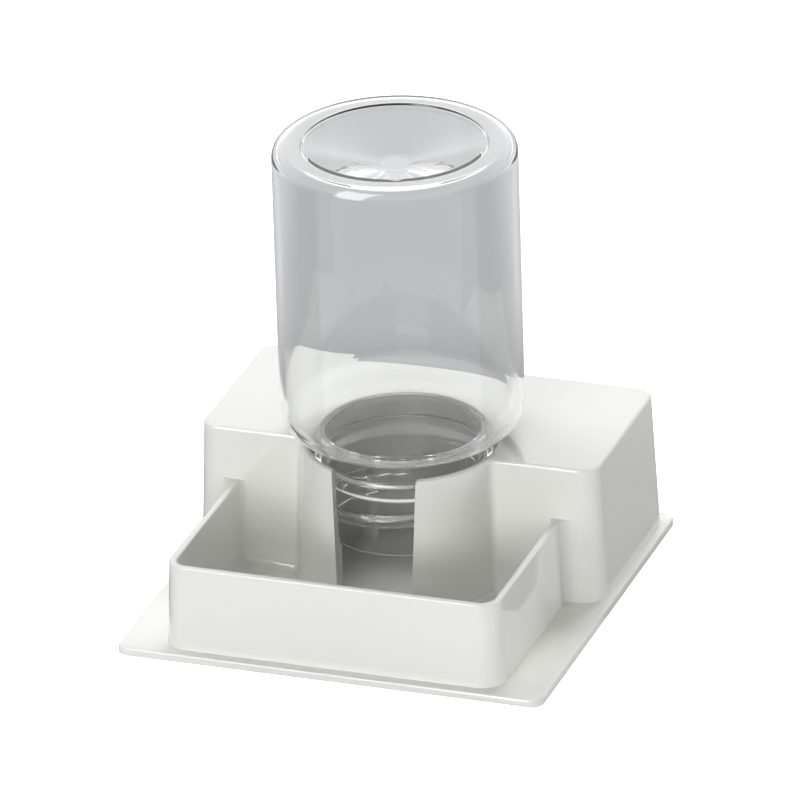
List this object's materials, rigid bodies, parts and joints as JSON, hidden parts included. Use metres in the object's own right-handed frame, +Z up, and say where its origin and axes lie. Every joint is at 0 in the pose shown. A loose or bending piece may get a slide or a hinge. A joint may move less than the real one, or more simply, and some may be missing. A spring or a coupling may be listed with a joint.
{
  "type": "automatic reptile water dish",
  "caption": "Self-filling water dish for reptiles: a clear bottle stands upside down in the slotted socket of a moulded white basin and keeps it filled.",
  "frame": {"origin": "centre of the plate's underside, midway between its edges, on the surface the dish stands on", "axes": "+X to the right along the front edge, +Y from the basin in front to the block behind, +Z up"},
  "size_m": [0.12, 0.118, 0.1288],
  "materials": {
    "dish_plastic": "glossy moulded plastic, warm white",
    "clear_plastic": "clear glossy blown plastic"
  },
  "bodies": {
    "root": {"dish_base": "dish_plastic", "water_bottle": "clear_plastic"}
  },
  "joints": []
}
